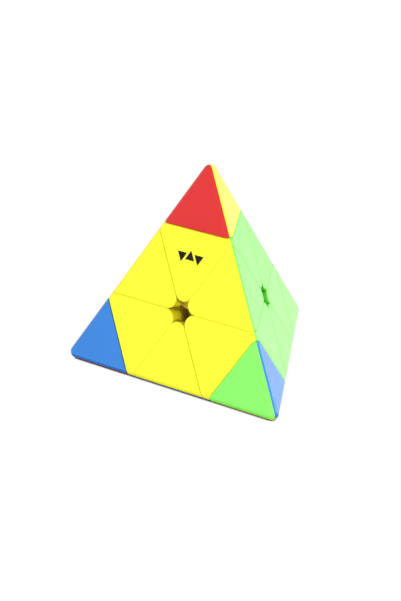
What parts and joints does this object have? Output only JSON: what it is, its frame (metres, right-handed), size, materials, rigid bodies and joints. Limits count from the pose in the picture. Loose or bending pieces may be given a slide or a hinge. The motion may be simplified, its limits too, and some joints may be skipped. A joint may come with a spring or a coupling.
{
  "type": "pyramid twisty puzzle",
  "caption": "Tetrahedral twisty puzzle whose corner layers and small tips turn about a hidden round core, with coloured caps on hubs and feet.",
  "frame": {"origin": "centre of the core, where the four turning axes meet", "axes": "+Z from the core through the top corner; -Y faces the yellow front face; +X along the lower front edge, from the left corner to the right corner"},
  "size_m": [0.0914, 0.0794, 0.075],
  "materials": {
    "yellow_plastic": "satin moulded, fine grain",
    "red_plastic": "satin moulded, fine grain",
    "blue_plastic": "satin moulded, fine grain",
    "green_plastic": "satin moulded, fine grain",
    "inner_plastic": "smooth, slippery",
    "steel": "bright, turned and drawn"
  },
  "bodies": {
    "core": {"core": "inner_plastic", "screw_top": "steel", "spring_top": "steel", "screw_left": "steel", "spring_left": "steel", "screw_right": "steel", "spring_right": "steel", "screw_back": "steel", "spring_back": "steel"},
    "top_layer": {"axial_hub_top": "inner_plastic", "axial_cap_top_right_side": "green_plastic", "axial_cap_top_left_side": "red_plastic", "axial_cap_top_front": "yellow_plastic"},
    "top_tip": {"tip_stem_top": "inner_plastic", "tip_cap_top_right_side": "yellow_plastic", "tip_cap_top_left_side": "green_plastic", "tip_cap_top_front": "red_plastic"},
    "left_layer": {"axial_hub_left": "inner_plastic", "axial_cap_left_bottom": "blue_plastic", "axial_cap_left_left_side": "red_plastic", "axial_cap_left_front": "yellow_plastic"},
    "left_tip": {"tip_stem_left": "inner_plastic", "tip_cap_left_bottom": "red_plastic", "tip_cap_left_left_side": "yellow_plastic", "tip_cap_left_front": "blue_plastic"},
    "right_layer": {"axial_hub_right": "inner_plastic", "axial_cap_right_bottom": "blue_plastic", "axial_cap_right_right_side": "green_plastic", "axial_cap_right_front": "yellow_plastic"},
    "right_tip": {"tip_stem_right": "inner_plastic", "tip_cap_right_bottom": "yellow_plastic", "tip_cap_right_right_side": "blue_plastic", "tip_cap_right_front": "green_plastic"},
    "back_layer": {"axial_hub_back": "inner_plastic", "axial_cap_back_bottom": "blue_plastic", "axial_cap_back_right_side": "green_plastic", "axial_cap_back_left_side": "red_plastic"},
    "back_tip": {"tip_stem_back": "inner_plastic", "tip_cap_back_bottom": "blue_plastic", "tip_cap_back_right_side": "green_plastic", "tip_cap_back_left_side": "red_plastic"},
    "top_left_edge": {"edge_foot_top_left": "inner_plastic", "edge_cap_top_left_left_side": "red_plastic", "edge_cap_top_left_front": "yellow_plastic"},
    "top_right_edge": {"edge_foot_top_right": "inner_plastic", "edge_cap_top_right_right_side": "green_plastic", "edge_cap_top_right_front": "yellow_plastic"},
    "top_back_edge": {"edge_foot_top_back": "inner_plastic", "edge_cap_top_back_right_side": "green_plastic", "edge_cap_top_back_left_side": "red_plastic"},
    "left_right_edge": {"edge_foot_left_right": "inner_plastic", "edge_cap_left_right_bottom": "blue_plastic", "edge_cap_left_right_front": "yellow_plastic"},
    "left_back_edge": {"edge_foot_left_back": "inner_plastic", "edge_cap_left_back_bottom": "blue_plastic", "edge_cap_left_back_left_side": "red_plastic"},
    "right_back_edge": {"edge_foot_right_back": "inner_plastic", "edge_cap_right_back_bottom": "blue_plastic", "edge_cap_right_back_right_side": "green_plastic"}
  },
  "joints": [
    {"name": "turn_top_layer", "type": "hinge", "parent": "core", "child": "top_layer", "pos_m": [0, 0, 0], "axis": [0, 0, 1], "range_deg": [-240, 120]},
    {"name": "turn_left_layer", "type": "hinge", "parent": "core", "child": "left_layer", "pos_m": [0, 0, 0], "axis": [-0.8165, -0.4714, -0.3333], "range_deg": [-240, 120]},
    {"name": "turn_right_layer", "type": "hinge", "parent": "core", "child": "right_layer", "pos_m": [0, 0, 0], "axis": [0.8165, -0.4714, -0.3333], "range_deg": [-240, 120]},
    {"name": "turn_back_layer", "type": "hinge", "parent": "core", "child": "back_layer", "pos_m": [0, 0, 0], "axis": [0, 0.9428, -0.3333], "range_deg": [-240, 120]},
    {"name": "turn_top_tip", "type": "hinge", "parent": "top_layer", "child": "top_tip", "pos_m": [0, 0, 0], "axis": [0, 0, 1], "continuous": true},
    {"name": "turn_left_tip", "type": "hinge", "parent": "left_layer", "child": "left_tip", "pos_m": [0, 0, 0], "axis": [-0.8165, -0.4714, -0.3333], "continuous": true},
    {"name": "turn_right_tip", "type": "hinge", "parent": "right_layer", "child": "right_tip", "pos_m": [0, 0, 0], "axis": [0.8165, -0.4714, -0.3333], "continuous": true},
    {"name": "turn_back_tip", "type": "hinge", "parent": "back_layer", "child": "back_tip", "pos_m": [0, 0, 0], "axis": [0, 0.9428, -0.3333], "continuous": true},
    {"name": "top_left_edge_with_left_layer", "type": "hinge", "parent": "top_layer", "child": "top_left_edge", "pos_m": [0, 0, 0], "axis": [-0.8165, -0.4714, -0.3333], "range_deg": [-240, 120]},
    {"name": "top_right_edge_with_right_layer", "type": "hinge", "parent": "top_layer", "child": "top_right_edge", "pos_m": [0, 0, 0], "axis": [0.8165, -0.4714, -0.3333], "range_deg": [-240, 120]},
    {"name": "top_back_edge_with_back_layer", "type": "hinge", "parent": "top_layer", "child": "top_back_edge", "pos_m": [0, 0, 0], "axis": [0, 0.9428, -0.3333], "range_deg": [-240, 120]},
    {"name": "left_right_edge_with_right_layer", "type": "hinge", "parent": "left_layer", "child": "left_right_edge", "pos_m": [0, 0, 0], "axis": [0.8165, -0.4714, -0.3333], "range_deg": [-240, 120]},
    {"name": "left_back_edge_with_left_layer", "type": "hinge", "parent": "back_layer", "child": "left_back_edge", "pos_m": [0, 0, 0], "axis": [-0.8165, -0.4714, -0.3333], "range_deg": [-240, 120]},
    {"name": "right_back_edge_with_back_layer", "type": "hinge", "parent": "right_layer", "child": "right_back_edge", "pos_m": [0, 0, 0], "axis": [0, 0.9428, -0.3333], "range_deg": [-240, 120]}
  ],
  "couplings": [
    {"joint": "top_left_edge_with_left_layer", "follows": "turn_left_layer", "ratio": 1},
    {"joint": "top_right_edge_with_right_layer", "follows": "turn_right_layer", "ratio": 1},
    {"joint": "top_back_edge_with_back_layer", "follows": "turn_back_layer", "ratio": 1},
    {"joint": "left_right_edge_with_right_layer", "follows": "turn_right_layer", "ratio": 1},
    {"joint": "left_back_edge_with_left_layer", "follows": "turn_left_layer", "ratio": 1},
    {"joint": "right_back_edge_with_back_layer", "follows": "turn_back_layer", "ratio": 1}
  ]
}
